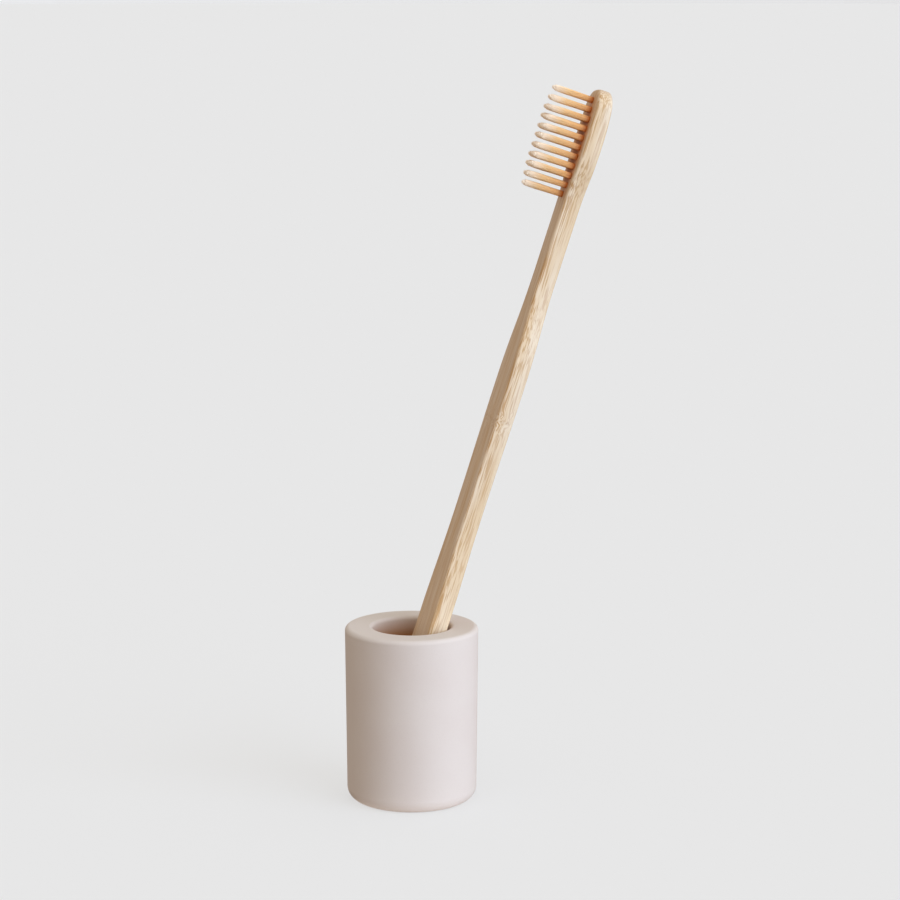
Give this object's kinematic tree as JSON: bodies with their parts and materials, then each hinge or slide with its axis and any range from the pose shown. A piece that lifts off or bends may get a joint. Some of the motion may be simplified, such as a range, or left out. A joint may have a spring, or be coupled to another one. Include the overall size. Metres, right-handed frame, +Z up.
{
  "type": "toothbrush holder",
  "caption": "Small round cast toothbrush holder with a blind bore, and the flat bamboo toothbrush that leans in it and lifts out.",
  "frame": {"origin": "centre of the holder's base, on the surface that it stands on", "axes": "+Z up along the bore; the brush leans towards +X in the XZ plane, its bristles facing -X and up"},
  "size_m": [0.0704, 0.035, 0.187],
  "materials": {
    "holder_stoneware": "matte, unglazed",
    "handle_bamboo": "sanded and waxed",
    "bristle_nylon": "satin strands",
    "anchor_brass": "plain flat wire"
  },
  "bodies": {
    "holder": {"holder_body": "holder_stoneware"},
    "brush": {"brush_handle": "handle_bamboo", "tuft_01_centre": "bristle_nylon", "tuft_02_left": "bristle_nylon", "tuft_02_right": "bristle_nylon", "tuft_03_centre": "bristle_nylon", "tuft_03_left": "bristle_nylon", "tuft_03_right": "bristle_nylon", "tuft_04_centre": "bristle_nylon", "tuft_04_left": "bristle_nylon", "tuft_04_right": "bristle_nylon", "tuft_05_centre": "bristle_nylon", "tuft_05_left": "bristle_nylon", "tuft_05_right": "bristle_nylon", "tuft_06_centre": "bristle_nylon", "tuft_06_left": "bristle_nylon", "tuft_06_right": "bristle_nylon", "tuft_07_centre": "bristle_nylon", "tuft_07_left": "bristle_nylon", "tuft_07_right": "bristle_nylon", "tuft_08_centre": "bristle_nylon", "tuft_08_left": "bristle_nylon", "tuft_08_right": "bristle_nylon", "tuft_09_centre": "bristle_nylon", "tuft_09_left": "bristle_nylon", "tuft_09_right": "bristle_nylon", "tuft_10_left": "bristle_nylon", "tuft_10_right": "bristle_nylon", "tuft_11_centre": "bristle_nylon", "anchor_01_centre": "anchor_brass", "anchor_02_left": "anchor_brass", "anchor_02_right": "anchor_brass", "anchor_03_centre": "anchor_brass", "anchor_03_left": "anchor_brass", "anchor_03_right": "anchor_brass", "anchor_04_centre": "anchor_brass", "anchor_04_left": "anchor_brass", "anchor_04_right": "anchor_brass", "anchor_05_centre": "anchor_brass", "anchor_05_left": "anchor_brass", "anchor_05_right": "anchor_brass", "anchor_06_centre": "anchor_brass", "anchor_06_left": "anchor_brass", "anchor_06_right": "anchor_brass", "anchor_07_centre": "anchor_brass", "anchor_07_left": "anchor_brass", "anchor_07_right": "anchor_brass", "anchor_08_centre": "anchor_brass", "anchor_08_left": "anchor_brass", "anchor_08_right": "anchor_brass", "anchor_09_centre": "anchor_brass", "anchor_09_left": "anchor_brass", "anchor_09_right": "anchor_brass", "anchor_10_left": "anchor_brass", "anchor_10_right": "anchor_brass", "anchor_11_centre": "anchor_brass"}
  },
  "joints": [
    {"name": "brush_lift", "type": "slide", "parent": "holder", "child": "brush", "axis": [0.3154, 0, 0.949], "range_m": [0, 0.05]}
  ]
}
